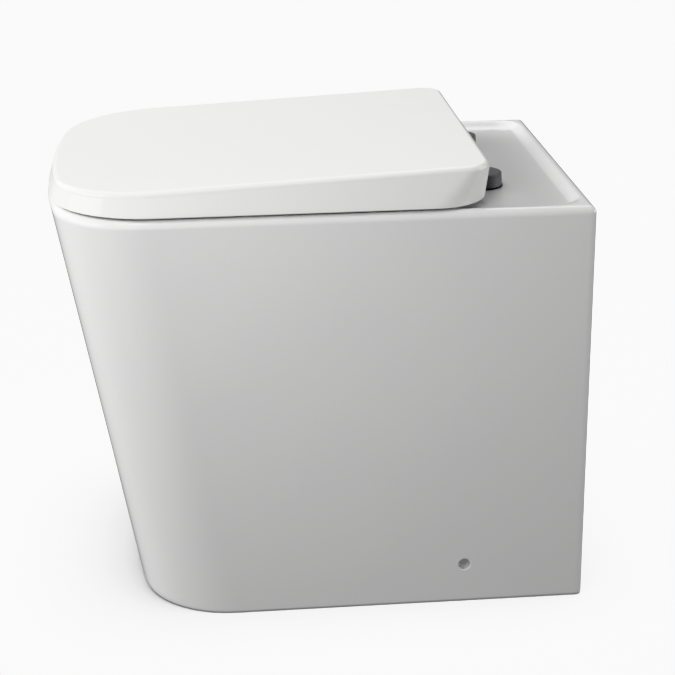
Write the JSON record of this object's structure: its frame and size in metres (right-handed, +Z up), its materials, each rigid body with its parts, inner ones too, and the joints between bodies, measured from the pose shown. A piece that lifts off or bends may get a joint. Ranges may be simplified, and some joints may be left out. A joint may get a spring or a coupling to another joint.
{
  "type": "back to wall toilet",
  "caption": "Back to wall toilet: china pan with a raked front and concealed trap, wrap-over soft-close lid, seat ring and quick-release hinges.",
  "frame": {"origin": "on the floor, in the middle of the pan's width and depth", "axes": "+X across the pan, +Y towards the wall (the front faces -Y), +Z up"},
  "size_m": [0.36, 0.51, 0.4403],
  "materials": {
    "glazed_china": "fired glossy white glaze",
    "moulded_seat": "glossy white moulded thermoset",
    "soft_buffer": "matt off-white elastomer",
    "grey_casting": "satin dark grey coating on a zinc casting",
    "grey_button": "satin dark grey moulded nylon",
    "stainless_steel": "fine ground",
    "damper_nylon": "natural moulded nylon",
    "black_rubber": "matt black moulded rubber",
    "nut_brass": "turned"
  },
  "bodies": {
    "pan": {"pan_rim": "glazed_china", "pan_front": "glazed_china", "pan_side_left": "glazed_china", "pan_side_right": "glazed_china", "bowl": "glazed_china", "trapway": "glazed_china", "outlet_spigot": "glazed_china", "flush_horn": "glazed_china", "hinge_gasket_left": "black_rubber", "hinge_gasket_right": "black_rubber", "base_plate_left": "stainless_steel", "base_plate_right": "stainless_steel", "fixing_stud_left": "stainless_steel", "fixing_stud_right": "stainless_steel", "expansion_sleeve_left": "black_rubber", "expansion_sleeve_right": "black_rubber", "clamp_nut_left": "nut_brass", "clamp_nut_right": "nut_brass"},
    "hinge_set": {"hinge_post_left": "grey_casting", "hinge_post_right": "grey_casting", "hinge_pin_left": "stainless_steel", "hinge_pin_right": "stainless_steel", "soft_close_damper_left": "damper_nylon", "soft_close_damper_right": "damper_nylon", "button_spring_left": "stainless_steel", "button_spring_right": "stainless_steel"},
    "button_left": {"release_button_left": "grey_button"},
    "button_right": {"release_button_right": "grey_button"},
    "seat": {"seat": "moulded_seat", "seat_buffers": "soft_buffer"},
    "lid": {"lid": "moulded_seat", "lid_buffers": "soft_buffer"}
  },
  "joints": [
    {"name": "lift_off", "type": "slide", "parent": "pan", "child": "hinge_set", "axis": [0, 0, 1], "range_m": [0, 0.018]},
    {"name": "seat_hinge", "type": "hinge", "parent": "hinge_set", "child": "seat", "pos_m": [0, 0.149, 0.423], "axis": [-1, 0, 0], "range_deg": [0, 95]},
    {"name": "lid_hinge", "type": "hinge", "parent": "seat", "child": "lid", "pos_m": [0, 0.149, 0.423], "axis": [1, 0, 0], "range_deg": [-100, 0]},
    {"name": "release_left", "type": "slide", "parent": "hinge_set", "child": "button_left", "axis": [-1, 0, 0], "range_m": [0, 0.003], "stiffness_N_per_m": 600, "deforming": ["button_spring_left"]},
    {"name": "release_right", "type": "slide", "parent": "hinge_set", "child": "button_right", "axis": [1, 0, 0], "range_m": [0, 0.003], "stiffness_N_per_m": 600, "deforming": ["button_spring_right"]}
  ]
}
